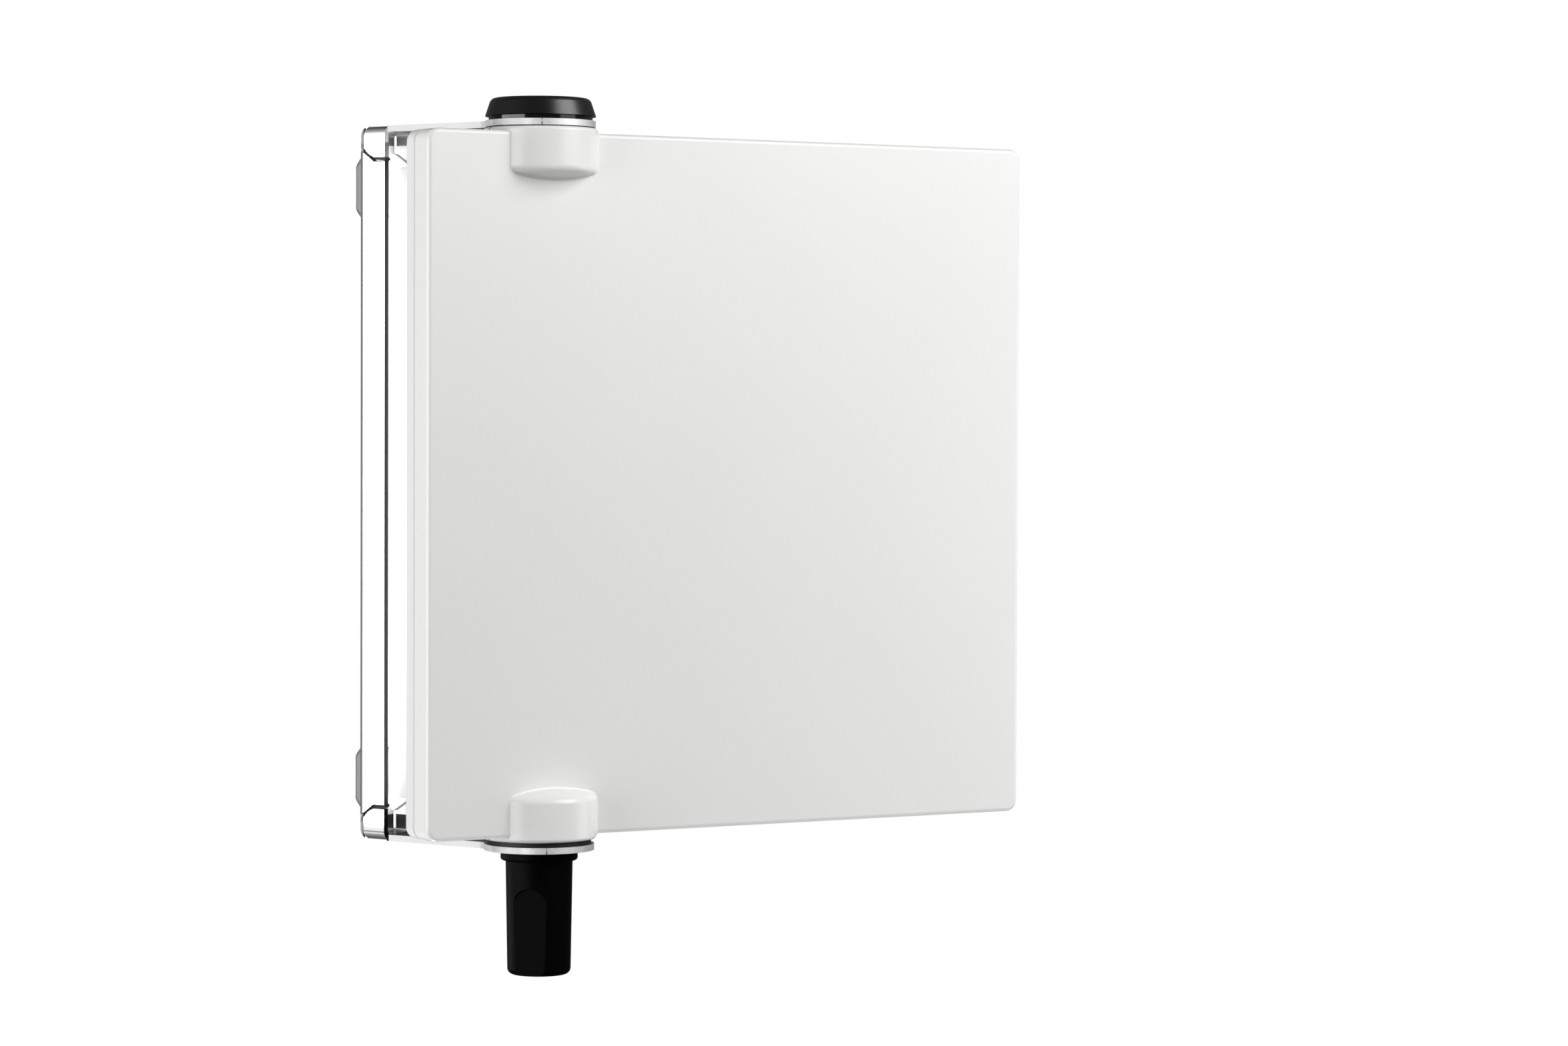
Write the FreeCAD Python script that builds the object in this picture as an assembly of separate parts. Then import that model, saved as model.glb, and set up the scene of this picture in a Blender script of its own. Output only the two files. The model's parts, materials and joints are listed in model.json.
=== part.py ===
# Outdoor television antenna: a flat square panel that swivels in a folded metal bracket.
# Millimetres. The wall is the plane y = 0, +Z is up and the bracket reaches out along -Y.
# The panel is modelled square to its own axes, with the swivel axis as its local Z axis and the
# joint of its two covers at y = 0, and is then turned to the angle it is stored at.
import FreeCAD, Part
import math
import os

# Panel covers
PANEL_SIDE = 220.0
FRONT_DEPTH = 9.2
REAR_DEPTH = 6.4
PANEL_CORNER_R = 3.8
FACE_EDGE_R = 1.3
COVER_WALL = 2.0
PARTING_BEVEL = 0.9
HUB_INSET = 44.0
SWIVEL_ANGLE = -23.0

# Hub bosses at the top and bottom edges, split between the two covers
BOSS_R = 18.0
BOSS_RISE = 1.5
BOSS_LENGTH = 12.4
BOSS_DOME = 3.1
BOSS_EDGE_R = 1.2
BOSS_DOME_EDGE_R = 2.2
BOSS_ROOT_R = 0.8
BOSS_WALL = 2.5
BOSS_END_WALL = 4.0
BOSS_SPLIT = 0.7
BOSS_SPLIT_DEPTH = 2.0
RIB_THICKNESS = 1.8

# Cover screws, their posts and the seal between the covers
POST_R = 4.5
POST_INSET = 7.5
COVER_SCREW_R = 1.45
COVER_SCREW_HEAD_R = 3.0
COVER_SCREW_HEAD = 1.7
COVER_SCREW_TIP = 1.5
HEAD_RECESS = 2.0
SEAL_WIDTH = 1.4

# Receiving parts inside the panel
BOARD_MARGIN = 14.0
BOARD_THICKNESS = 1.6
BOARD_FRONT_GAP = 3.2
COPPER = 0.3
WING_ROOT = 3.0
WING_TIP = 44.0
WING_LENGTH = 76.0
WING_SPACING = 96.0
FEED_GAP = 5.0
REFLECTOR = 0.8
SPACER_R = 3.0
SPACER_INSET = 10.0
BOARD_SCREW_R = 1.45
BOARD_SCREW_HEAD_R = 2.75
BOARD_SCREW_HEAD = 1.6
CAN_WIDTH = 30.0
CAN_HEIGHT = 24.0
CAN_DEPTH = 4.8
CAN_WALL = 0.5
CAN_RISE = 48.0
COAX_R = 1.5
COAX_INSIDE = 3.0

# Folded bracket
SHEET = 2.0
BEND_R = 3.0
ARM_WIDTH = 18.0
FLANGE_DEPTH = 11.6
HUB_REACH = 68.0
DISC_R = 17.3
NECK_R = 4.0
TAB_HEIGHT = 10.2
TAB_CHAMFER_RISE = 3.2
NOTCH_START = 8.0
NOTCH_END = 11.1
NOTCH_RUN = 7.0
CORNER_STRIP = 14.0
RELIEF = 1.2
PAD_RISE = 4.2
PAD_HEIGHT = 23.4
PAD_WIDTH = 13.6
PAD_TAPER = 3.6
PAD_SIDE_TAPER = 1.3
PAD_CORNER_R = 3.2
PAD_CROWN_R = 2.6
PAD_PRESS_INSET = 1.4
WALL_HOLE_SPACING = 190.0
WALL_HOLE_R = 2.75

# Swivel
BUSH_FLANGE_R = 16.3
BUSH_FLANGE = 1.25
BUSH_WALL = 2.9
TOP_GAP = 0.25
RUN_GAP = 0.15
RUN_CLEARANCE = 0.05
HOLE_CLEARANCE = 0.3
PIVOT_R = 4.0
PIVOT_HEX = 13.0
PIVOT_NUT = 6.5
PIVOT_WASHER_R = 8.0
PIVOT_WASHER = 1.2
PIVOT_TIP = 2.0

# Cap over the upper pivot
CAP_RIM_R = 17.4
CAP_TOP_R = 15.5
CAP_HEIGHT = 5.7
CAP_EDGE_R = 2.0
CAP_TOP_WALL = 0.9
CAP_WALL = 1.8

# Cable socket, which is also the lower pivot
SOCKET_R = 4.75
SOCKET_BORE_R = 3.6
SOCKET_HEX = 14.0
SOCKET_FLANGE = 3.5
SOCKET_TAIL_R = 2.6
SOCKET_TAIL = 6.0
SOCKET_REACH = 15.0
INSULATOR = 10.0
INSULATOR_RECESS = 1.0
CONTACT_R = 0.95
CONTACT_BORE_R = 0.45
LOCK_WASHER_R = 8.6
LOCK_WASHER = 0.9
LOCK_NUT = 3.0

# Rubber boot over the cable socket
COLLAR_R = 12.15
COLLAR_HEIGHT = 3.15
COLLAR_EDGE_R = 0.9
BOOT_TOP_R = 10.55
BOOT_END_R = 9.95
BOOT_LENGTH = 36.0
BOOT_EDGE_R = 2.0
BOOT_CAVITY_R = 7.2
BOOT_FLOOR = 5.0
CABLE_HOLE_R = 3.4
GRIP_FLAT = 8.74
GRIP_HALF_WIDTH = 5.6
GRIP_START = 8.3
GRIP_ANGLE = -47.5

# Places that follow from the sizes above, in the panel's own axes
LEFT = -HUB_INSET
RIGHT = PANEL_SIDE - HUB_INSET
EDGE = PANEL_SIDE / 2
BOSS_END = EDGE + BOSS_RISE
BOSS_FLOOR = BOSS_END - BOSS_END_WALL
FRONT_INSIDE = COVER_WALL - FRONT_DEPTH
REAR_INSIDE = REAR_DEPTH - COVER_WALL
BOARD_FRONT = FRONT_INSIDE + BOARD_FRONT_GAP
BOARD_BACK = BOARD_FRONT + BOARD_THICKNESS
REFLECTOR_FRONT = REAR_INSIDE - REFLECTOR
TOP_DISC = BOSS_END + TOP_GAP
LOW_DISC = -(BOSS_END + BUSH_FLANGE + RUN_GAP)
UNDER_LOW_DISC = LOW_DISC - SHEET - RUN_GAP
SOCKET_TIP = UNDER_LOW_DISC - SOCKET_REACH
SOCKET_BACK = SOCKET_FLANGE - BOSS_FLOOR
CAN_FLOOR = CAN_RISE - EDGE
ARM_SPAN = TOP_DISC - LOW_DISC + 2 * SHEET
PANEL_LIFT = (TOP_DISC + LOW_DISC) / -2
WEB_BACK = -PAD_RISE
HUB_Y = WEB_BACK - HUB_REACH
PAST = 1.0


def point(x, y, z):
    return FreeCAD.Vector(x, y, z)


def block(x0, x1, y0, y1, z0, z1):
    return Part.makeBox(x1 - x0, y1 - y0, z1 - z0, point(x0, y0, z0))


def rod(radius, z0, z1):
    return Part.makeCylinder(radius, z1 - z0, point(0, 0, z0))


def cross_rod(radius, x, z, y0, y1):
    return Part.makeCylinder(radius, y1 - y0, point(x, y0, z), point(0, 1, 0))


def tube(outer, inner, z0, z1):
    return rod(outer, z0, z1).cut(rod(inner, z0 - PAST, z1 + PAST))


def turned(profile):
    """A solid of revolution about Z from (radius, height) corners."""
    corners = [point(r, 0, z) for r, z in profile]
    face = Part.Face(Part.makePolygon(corners + corners[:1]))
    return face.revolve(point(0, 0, 0), point(0, 0, 1), 360)


def prism(corners, direction):
    """A straight prism on a closed polygon."""
    return Part.Face(Part.makePolygon(corners + corners[:1])).extrude(direction)


def hexagon(across_flats, z0, z1):
    """A hexagonal prism with two of its flats square to X."""
    radius = across_flats / math.sqrt(3)
    angles = [math.radians(30 + 60 * i) for i in range(6)]
    corners = [point(radius * math.cos(a), radius * math.sin(a), z0) for a in angles]
    return prism(corners, point(0, 0, z1 - z0))


def rounded(shape, radius, wanted):
    """Fillets the edges that the test picks."""
    return shape.makeFillet(radius, [edge for edge in shape.Edges if wanted(edge)])


def runs_along(edge, axis):
    """True for a straight edge that is parallel to an axis."""
    if edge.Curve.TypeId != "Part::GeomLine":
        return False
    return abs(abs(edge.tangentAt(edge.FirstParameter).dot(axis)) - 1) < 1e-6


def lies_at(edge, axis, place):
    """True for an edge that lies in one plane square to an axis."""
    box = edge.BoundBox
    spans = {"x": (box.XMin, box.XMax), "y": (box.YMin, box.YMax), "z": (box.ZMin, box.ZMax)}
    return max(abs(end - place) for end in spans[axis]) < 1e-4


def is_circle(edge, radius):
    return edge.Curve.TypeId == "Part::GeomCircle" and abs(edge.Curve.Radius - radius) < 1e-6


def mirrored(shape):
    """The same shape upside down, for the lower half of the panel."""
    return shape.mirror(point(0, 0, 0), point(0, 0, 1))


def joined(shapes):
    return shapes[0].multiFuse(shapes[1:]).removeSplitter()


# Covers

def slab(inset, y0, y1, corner_r):
    """The panel's square outline with round corners, drawn in by an inset."""
    square = block(LEFT + inset, RIGHT - inset, y0, y1, inset - EDGE, EDGE - inset)
    return rounded(square, corner_r, lambda edge: runs_along(edge, point(0, 1, 0)))


def boss():
    """The whole round upper boss, whose lower end is a shallow dome."""
    shoulder = EDGE - BOSS_LENGTH
    apex = shoulder - BOSS_DOME
    sphere_r = (BOSS_R ** 2 + BOSS_DOME ** 2) / (2 * BOSS_DOME)
    half_way = math.asin(BOSS_R / sphere_r) / 2
    rim = point(BOSS_R, 0, shoulder)
    between = point(sphere_r * math.sin(half_way), 0, apex + sphere_r * (1 - math.cos(half_way)))
    dome = Part.Arc(rim, between, point(0, 0, apex)).toShape()
    sides = Part.makePolygon([point(0, 0, apex), point(0, 0, BOSS_END), point(BOSS_R, 0, BOSS_END), rim])
    body = Part.Face(Part.Wire([dome, sides])).revolve(point(0, 0, 0), point(0, 0, 1), 360)
    body = rounded(body, BOSS_EDGE_R, lambda edge: lies_at(edge, "z", BOSS_END))
    return rounded(body, BOSS_DOME_EDGE_R, lambda edge: lies_at(edge, "z", shoulder))


def boss_hollow():
    """The space inside the upper boss, open to the inside of the panel."""
    return rod(BOSS_R - BOSS_WALL, EDGE - BOSS_LENGTH + BOSS_WALL, BOSS_FLOOR)


def is_boss_root(edge, face):
    """True for an edge where a boss rises from a cover's flat face."""
    return lies_at(edge, "y", face) and max(abs(edge.BoundBox.XMin), abs(edge.BoundBox.XMax)) < BOSS_R


def hex_ribs(across_flats, height):
    """Two ribs under the upper boss's end wall that keep a hexagon from turning."""
    near = across_flats / 2 + RUN_CLEARANCE
    low = BOSS_FLOOR - height
    right = block(near, near + RIB_THICKNESS, -BOSS_R, BOSS_R, low, BOSS_FLOOR)
    left = block(-near - RIB_THICKNESS, -near, -BOSS_R, BOSS_R, low, BOSS_FLOOR)
    within = rod(BOSS_R - BOSS_WALL / 2, low, BOSS_FLOOR)
    return right.fuse(left).common(within)


def post_places():
    """Places of the cover screws: the corners and the middles of the sides."""
    xs = [LEFT + POST_INSET, (LEFT + RIGHT) / 2, RIGHT - POST_INSET]
    zs = [POST_INSET - EDGE, 0, EDGE - POST_INSET]
    return [(x, z) for x in xs for z in zs if (x, z) != (xs[1], zs[1])]


def cover(outer, face, inner, half, posts, holes):
    """One cover: the outer form less its inside, with posts, ribs and holes."""
    bosses = [boss(), mirrored(boss())]
    hollows = [boss_hollow(), mirrored(boss_hollow())]
    ribs = [hex_ribs(PIVOT_HEX, PIVOT_NUT), mirrored(hex_ribs(SOCKET_HEX, SOCKET_FLANGE))]
    shell = joined([outer] + [piece.common(half) for piece in bosses])
    shell = rounded(shell, BOSS_ROOT_R, lambda edge: is_boss_root(edge, face))
    for hollow in [inner] + [piece.common(half) for piece in hollows]:
        shell = shell.cut(hollow)
    shell = joined([shell] + [rib.common(half) for rib in ribs] + posts)
    pivots = [rod(PIVOT_R + HOLE_CLEARANCE, BOSS_FLOOR - PAST, BOSS_END + PAST)]
    pivots.append(rod(SOCKET_R + HOLE_CLEARANCE, -BOSS_END - PAST, PAST - BOSS_FLOOR))
    for hole in holes + pivots:
        shell = shell.cut(hole)
    return shell


def front_cover():
    outer = rounded(slab(0, -FRONT_DEPTH, 0, PANEL_CORNER_R), FACE_EDGE_R,
                    lambda edge: lies_at(edge, "y", -FRONT_DEPTH))
    inner = slab(COVER_WALL, FRONT_INSIDE, PAST, PANEL_CORNER_R - COVER_WALL)
    half = block(-BOSS_R - PAST, BOSS_R + PAST, -BOSS_R - PAST, 0, -EDGE - BOSS_R, EDGE + BOSS_R)
    posts = [cross_rod(POST_R, x, z, FRONT_INSIDE - COVER_WALL / 2, 0) for x, z in post_places()]
    pilot = COVER_SCREW_R + RUN_CLEARANCE
    pilot_end = FRONT_INSIDE + COVER_SCREW_TIP - PAST
    holes = [cross_rod(pilot, x, z, pilot_end, PAST) for x, z in post_places()]
    return cover(outer, -FRONT_DEPTH, inner, half, posts, holes)


def rear_cover():
    outer = rounded(slab(0, 0, REAR_DEPTH, PANEL_CORNER_R), FACE_EDGE_R,
                    lambda edge: lies_at(edge, "y", REAR_DEPTH))
    bevelled = outer.makeChamfer(PARTING_BEVEL, [edge for edge in outer.Edges if lies_at(edge, "y", 0)])
    bevel = outer.cut(bevelled).cut(boss()).cut(mirrored(boss()))
    inner = slab(COVER_WALL, -PAST, REAR_INSIDE, PANEL_CORNER_R - COVER_WALL)
    half = block(-BOSS_R - PAST, BOSS_R + PAST, 0, BOSS_R + PAST, -EDGE - BOSS_R, EDGE + BOSS_R)
    posts = [cross_rod(POST_R, x, z, 0, REAR_INSIDE + COVER_WALL / 2) for x, z in post_places()]
    clear = COVER_SCREW_R + HOLE_CLEARANCE
    recess = COVER_SCREW_HEAD_R + HOLE_CLEARANCE
    seat = REAR_DEPTH - HEAD_RECESS
    holes = [cross_rod(clear, x, z, -PAST, REAR_DEPTH) for x, z in post_places()]
    holes += [cross_rod(recess, x, z, seat, REAR_DEPTH + PAST) for x, z in post_places()]
    ring = tube(BOSS_R + PAST, BOSS_R - BOSS_SPLIT_DEPTH, EDGE, BOSS_END + PAST)
    split = ring.common(block(-2 * BOSS_R, 2 * BOSS_R, 0, BOSS_SPLIT, EDGE, BOSS_END + PAST))
    return cover(outer, REAR_DEPTH, inner, half, posts, holes + [bevel, split, mirrored(split)])


def cover_seal():
    """A soft strip inside the joint of the covers, left out where the bosses are."""
    reach = COVER_WALL + SEAL_WIDTH
    half = EDGE - reach
    ring = slab(COVER_WALL, -SEAL_WIDTH / 2, SEAL_WIDTH / 2, PANEL_CORNER_R - COVER_WALL)
    ring = ring.cut(block(LEFT + reach, RIGHT - reach, -SEAL_WIDTH, SEAL_WIDTH, -half, half))
    ring = ring.cut(block(-BOSS_R, BOSS_R, -SEAL_WIDTH, SEAL_WIDTH, -BOSS_END, BOSS_END))
    for x, z in post_places():
        ring = ring.cut(cross_rod(POST_R, x, z, -SEAL_WIDTH, SEAL_WIDTH))
    return ring


def cover_screws():
    seat = REAR_DEPTH - HEAD_RECESS
    tip = FRONT_INSIDE + COVER_SCREW_TIP
    screws = []
    for x, z in post_places():
        head = cross_rod(COVER_SCREW_HEAD_R, x, z, seat, seat + COVER_SCREW_HEAD)
        screws.append(joined([head, cross_rod(COVER_SCREW_R, x, z, tip, seat)]))
    return Part.makeCompound(screws)


# Receiving parts

def spacer_places():
    xs = [LEFT + BOARD_MARGIN + SPACER_INSET, RIGHT - BOARD_MARGIN - SPACER_INSET]
    zs = [BOARD_MARGIN + SPACER_INSET - EDGE, EDGE - BOARD_MARGIN - SPACER_INSET]
    return [(x, z) for x in xs for z in zs]


def board_outline(y0, y1, hole_r):
    """A plate of the board's outline with the spacers' screw holes."""
    half = EDGE - BOARD_MARGIN
    plate = block(LEFT + BOARD_MARGIN, RIGHT - BOARD_MARGIN, y0, y1, -half, half)
    for x, z in spacer_places():
        plate = plate.cut(cross_rod(hole_r, x, z, y0 - PAST, y1 + PAST))
    return plate


def antenna_board():
    return board_outline(BOARD_FRONT, BOARD_BACK, BOARD_SCREW_R + HOLE_CLEARANCE)


def reflector_plate():
    return board_outline(REFLECTOR_FRONT, REAR_INSIDE, BOARD_SCREW_R + RUN_CLEARANCE)


def radiator_elements():
    """Two stacked bow-tie dipoles: the wings of each side and the feed line that joins them."""
    middle = (LEFT + RIGHT) / 2
    thick = point(0, COPPER, 0)
    front = BOARD_FRONT - COPPER
    sides = []
    for side in (-1, 1):
        root = middle + side * FEED_GAP / 2
        tip = root + side * WING_LENGTH
        wings = []
        for z in (-WING_SPACING / 2, WING_SPACING / 2):
            corners = [(root, z - WING_ROOT / 2), (tip, z - WING_TIP / 2), (tip, z + WING_TIP / 2)]
            corners.append((root, z + WING_ROOT / 2))
            wings.append(prism([point(x, front, height) for x, height in corners], thick))
        x0, x1 = sorted((root, root + side * WING_ROOT))
        feed = block(x0, x1, front, BOARD_FRONT, -WING_SPACING / 2, WING_SPACING / 2)
        sides.append(joined(wings + [feed]))
    return Part.makeCompound(sides)


def board_spacers():
    hole = BOARD_SCREW_R + HOLE_CLEARANCE
    spacers = []
    for x, z in spacer_places():
        post = cross_rod(SPACER_R, x, z, BOARD_BACK, REFLECTOR_FRONT)
        spacers.append(post.cut(cross_rod(hole, x, z, BOARD_BACK - PAST, REFLECTOR_FRONT + PAST)))
    return Part.makeCompound(spacers)


def board_screws():
    screws = []
    for x, z in spacer_places():
        head = cross_rod(BOARD_SCREW_HEAD_R, x, z, BOARD_FRONT - BOARD_SCREW_HEAD, BOARD_FRONT)
        shank = cross_rod(BOARD_SCREW_R, x, z, BOARD_FRONT, REAR_INSIDE)
        screws.append(joined([head, shank]))
    return Part.makeCompound(screws)


def shield_can():
    """A tin lid over the matching circuit, open to the back of the board."""
    half = CAN_WIDTH / 2
    back = BOARD_BACK + CAN_DEPTH
    top = CAN_FLOOR + CAN_HEIGHT
    can = block(-half, half, BOARD_BACK, back, CAN_FLOOR, top)
    can = can.cut(block(CAN_WALL - half, half - CAN_WALL, BOARD_BACK - PAST, back - CAN_WALL,
                        CAN_FLOOR + CAN_WALL, top - CAN_WALL))
    return can.cut(rod(COAX_R + RUN_CLEARANCE, CAN_FLOOR - PAST, CAN_FLOOR + PAST))


def coax_jumper():
    return rod(COAX_R, SOCKET_BACK + SOCKET_TAIL, CAN_FLOOR + COAX_INSIDE)


# Swivel pieces

def bush(bore_r, z):
    """A flanged bush that drops into a disc from above, with its flange on the disc's face."""
    flange = rod(BUSH_FLANGE_R, z, z + BUSH_FLANGE)
    return joined([flange, rod(bore_r + BUSH_WALL, z - SHEET, z)]).cut(
        rod(bore_r, z - SHEET - PAST, z + BUSH_FLANGE + PAST))


def upper_bush():
    return bush(PIVOT_R + RUN_CLEARANCE, TOP_DISC + SHEET)


def lower_bush():
    return bush(SOCKET_R + RUN_CLEARANCE, LOW_DISC)


def cap_seat():
    """Height where the cap and the pivot washer run on the upper bush."""
    return TOP_DISC + SHEET + BUSH_FLANGE + RUN_GAP


def pivot_washer():
    return tube(PIVOT_WASHER_R, PIVOT_R + RUN_CLEARANCE, cap_seat(), cap_seat() + PIVOT_WASHER)


def pivot_screw():
    seat = cap_seat() + PIVOT_WASHER
    head = hexagon(PIVOT_HEX, seat, cap_seat() + CAP_HEIGHT - CAP_TOP_WALL - RUN_GAP)
    return joined([head, rod(PIVOT_R, BOSS_FLOOR - PIVOT_NUT - PIVOT_TIP, seat)])


def pivot_nut():
    nut = hexagon(PIVOT_HEX, BOSS_FLOOR - PIVOT_NUT, BOSS_FLOOR)
    return nut.cut(rod(PIVOT_R + RUN_CLEARANCE, BOSS_FLOOR - PIVOT_NUT - PAST, BOSS_FLOOR + PAST))


def pivot_cap():
    """A smooth cone that snaps over the pivot screw's washer."""
    low = cap_seat()
    top = low + CAP_HEIGHT
    body = turned([(0, low), (CAP_RIM_R, low), (CAP_TOP_R, top), (0, top)])
    body = rounded(body, CAP_EDGE_R, lambda edge: is_circle(edge, CAP_TOP_R))
    ceiling = top - CAP_TOP_WALL
    grip_r = PIVOT_WASHER_R + RUN_CLEARANCE
    body = body.cut(rod(grip_r, low - PAST, ceiling))
    return body.cut(tube(CAP_TOP_R - CAP_WALL, grip_r + CAP_WALL, low - PAST, ceiling - CAP_WALL))


def f_socket():
    """Threaded cable socket: the hexagon sits in the lower boss, the barrel turns in the lower bush."""
    barrel = rod(SOCKET_R, SOCKET_TIP, -BOSS_FLOOR)
    flange = hexagon(SOCKET_HEX, -BOSS_FLOOR, SOCKET_BACK)
    tail = rod(SOCKET_TAIL_R, SOCKET_BACK, SOCKET_BACK + SOCKET_TAIL)
    return joined([barrel, flange, tail]).cut(
        rod(SOCKET_BORE_R, SOCKET_TIP - PAST, SOCKET_TIP + INSULATOR_RECESS + INSULATOR))


def socket_insulator():
    low = SOCKET_TIP + INSULATOR_RECESS
    return tube(SOCKET_BORE_R - RUN_CLEARANCE, CONTACT_R + RUN_CLEARANCE, low, low + INSULATOR)


def socket_contact():
    low = SOCKET_TIP + INSULATOR_RECESS
    return rod(CONTACT_R, low, low + INSULATOR).cut(rod(CONTACT_BORE_R, low - PAST, low + INSULATOR / 2))


def lock_washer():
    return tube(LOCK_WASHER_R, SOCKET_R + RUN_CLEARANCE, UNDER_LOW_DISC - LOCK_WASHER, UNDER_LOW_DISC)


def lock_nut():
    high = UNDER_LOW_DISC - LOCK_WASHER
    return hexagon(SOCKET_HEX, high - LOCK_NUT, high).cut(
        rod(SOCKET_R + RUN_CLEARANCE, high - LOCK_NUT - PAST, high + PAST))


def cable_boot():
    """A rubber boot that grips the lock nut, with two grip flats and a hole for the cable."""
    top = UNDER_LOW_DISC
    neck = top - COLLAR_HEIGHT
    low = neck - BOOT_LENGTH
    body = turned([(0, top), (COLLAR_R, top), (COLLAR_R, neck),
                   (BOOT_TOP_R, neck), (BOOT_END_R, low), (0, low)])
    lower_rim = [edge for edge in body.Edges if is_circle(edge, COLLAR_R) and lies_at(edge, "z", neck)]
    body = body.makeFillet(COLLAR_EDGE_R, lower_rim)
    body = rounded(body, BOOT_EDGE_R, lambda edge: is_circle(edge, BOOT_END_R))
    arch = neck - GRIP_START - GRIP_HALF_WIDTH
    flat = block(-GRIP_HALF_WIDTH, GRIP_HALF_WIDTH, -COLLAR_R, -GRIP_FLAT, low - PAST, arch)
    flat = flat.fuse(cross_rod(GRIP_HALF_WIDTH, 0, arch, -COLLAR_R, -GRIP_FLAT))
    for turn in (GRIP_ANGLE, GRIP_ANGLE + 180):
        cutter = flat.copy()
        cutter.rotate(point(0, 0, 0), point(0, 0, 1), turn)
        body = body.cut(cutter)
    washer_floor = top - LOCK_WASHER
    nut_floor = washer_floor - LOCK_NUT
    nut_r = SOCKET_HEX / math.sqrt(3) + RUN_CLEARANCE
    body = body.cut(rod(LOCK_WASHER_R + RUN_CLEARANCE, washer_floor, top + PAST))
    body = body.cut(rod(nut_r, nut_floor, top))
    body = body.cut(rod(BOOT_CAVITY_R, low + BOOT_FLOOR, top))
    return body.cut(rod(CABLE_HOLE_R, low - PAST, top))


# Bracket, drawn about the middle of its height

def side_prism(corners):
    """A prism across the bracket from (distance out from the web's back, drop from the arm's top)."""
    half = ARM_WIDTH / 2 + PAST
    places = [point(-half, WEB_BACK - out, ARM_SPAN / 2 - drop) for out, drop in corners]
    return prism(places, point(2 * half, 0, 0))


def web_channel():
    """The upright channel: the web and its two side flanges, with notched ends."""
    half = ARM_WIDTH / 2
    end = ARM_SPAN / 2 - NOTCH_START
    upright = point(0, 0, 1)
    outer = rounded(block(-half, half, WEB_BACK - FLANGE_DEPTH, WEB_BACK, -end, end), BEND_R,
                    lambda edge: runs_along(edge, upright) and lies_at(edge, "y", WEB_BACK))
    inside = WEB_BACK - SHEET
    inner = block(SHEET - half, half - SHEET, inside - FLANGE_DEPTH, inside, -end - PAST, end + PAST)
    inner = rounded(inner, BEND_R - SHEET,
                    lambda edge: runs_along(edge, upright) and lies_at(edge, "y", inside))
    past_flange = FLANGE_DEPTH + PAST
    notch = side_prism([(SHEET, NOTCH_START - PAST), (SHEET, NOTCH_START), (NOTCH_RUN, NOTCH_END),
                        (past_flange, NOTCH_END), (past_flange, NOTCH_START - PAST)])
    return outer.cut(inner).cut(notch).cut(mirrored(notch))


def upper_arm():
    """The upper arm: its bend, its two side tabs beside the bend, the flat arm and the disc."""
    top = ARM_SPAN / 2
    half = ARM_WIDTH / 2
    forward = point(0, 1, 0)
    tab_back = WEB_BACK - BEND_R
    tab_front = WEB_BACK - FLANGE_DEPTH
    tab_low = top - TAB_HEIGHT
    outer = rounded(block(-half, half, tab_front, tab_back, tab_low, top), BEND_R,
                    lambda edge: runs_along(edge, forward) and lies_at(edge, "z", top))
    inside = half - SHEET
    inner = block(-inside, inside, tab_front - PAST, tab_back + PAST, tab_low - PAST, top - SHEET)
    inner = rounded(inner, BEND_R - SHEET,
                    lambda edge: runs_along(edge, forward) and lies_at(edge, "z", top - SHEET))
    chamfer_start = TAB_HEIGHT - TAB_CHAMFER_RISE
    below_tab = TAB_HEIGHT + PAST
    chamfer = side_prism([(BEND_R - PAST, chamfer_start), (BEND_R, chamfer_start), (NOTCH_RUN, TAB_HEIGHT),
                          (NOTCH_RUN, below_tab), (BEND_R - PAST, below_tab)])
    tabs = outer.cut(inner).cut(chamfer)

    strip = CORNER_STRIP / 2
    bend_middle = point(-strip, tab_back, top - BEND_R)
    bend = Part.makeCylinder(BEND_R, CORNER_STRIP, bend_middle, point(1, 0, 0)).cut(
        Part.makeCylinder(BEND_R - SHEET, CORNER_STRIP, bend_middle, point(1, 0, 0)))
    bend = bend.common(block(-strip, strip, tab_back, WEB_BACK, top - BEND_R, top))

    relief_half = half - BEND_R
    arm_start = tab_front - RELIEF
    neck = block(-relief_half, relief_half, arm_start, tab_front, top - SHEET, top)
    arm = block(-half, half, HUB_Y, arm_start, top - SHEET, top)
    disc = rod(DISC_R, top - SHEET, top).translated(point(0, HUB_Y, 0))
    blade = joined([arm, disc])
    corner_y = HUB_Y + math.sqrt(DISC_R ** 2 - half ** 2)
    upright = point(0, 0, 1)
    blade = rounded(blade, NECK_R,
                    lambda edge: runs_along(edge, upright) and lies_at(edge, "y", corner_y))
    return joined([tabs, bend, neck, blade])


def rounded_frame(width, height, radius, y, z):
    """A rectangle with round corners, upright at one distance from the wall."""
    plate = block(-width / 2, width / 2, y, y + PAST, z - height / 2, z + height / 2)
    plate = rounded(plate, radius, lambda edge: runs_along(edge, point(0, 1, 0)))
    return [face for face in plate.Faces if lies_at(face, "y", y)][0].OuterWire


def pad_form(z, back, inset):
    """The tapered form of a pad that rises from one face of the web, drawn in by an inset."""
    width = PAD_WIDTH - 2 * inset
    height = PAD_HEIGHT - 2 * inset
    corner_r = PAD_CORNER_R - inset
    base = rounded_frame(width, height, corner_r, back, z)
    crown = rounded_frame(width - 2 * PAD_SIDE_TAPER, height - 2 * PAD_TAPER, corner_r, back + PAD_RISE, z)
    return Part.makeLoft([base, crown], True)


def wall_pad(z):
    """A pad pressed out of the web with a soft crown, so that the bracket stands clear of the wall."""
    pad = pad_form(z, WEB_BACK, 0)
    return rounded(pad, PAD_CROWN_R, lambda edge: lies_at(edge, "y", WEB_BACK + PAD_RISE))


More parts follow.
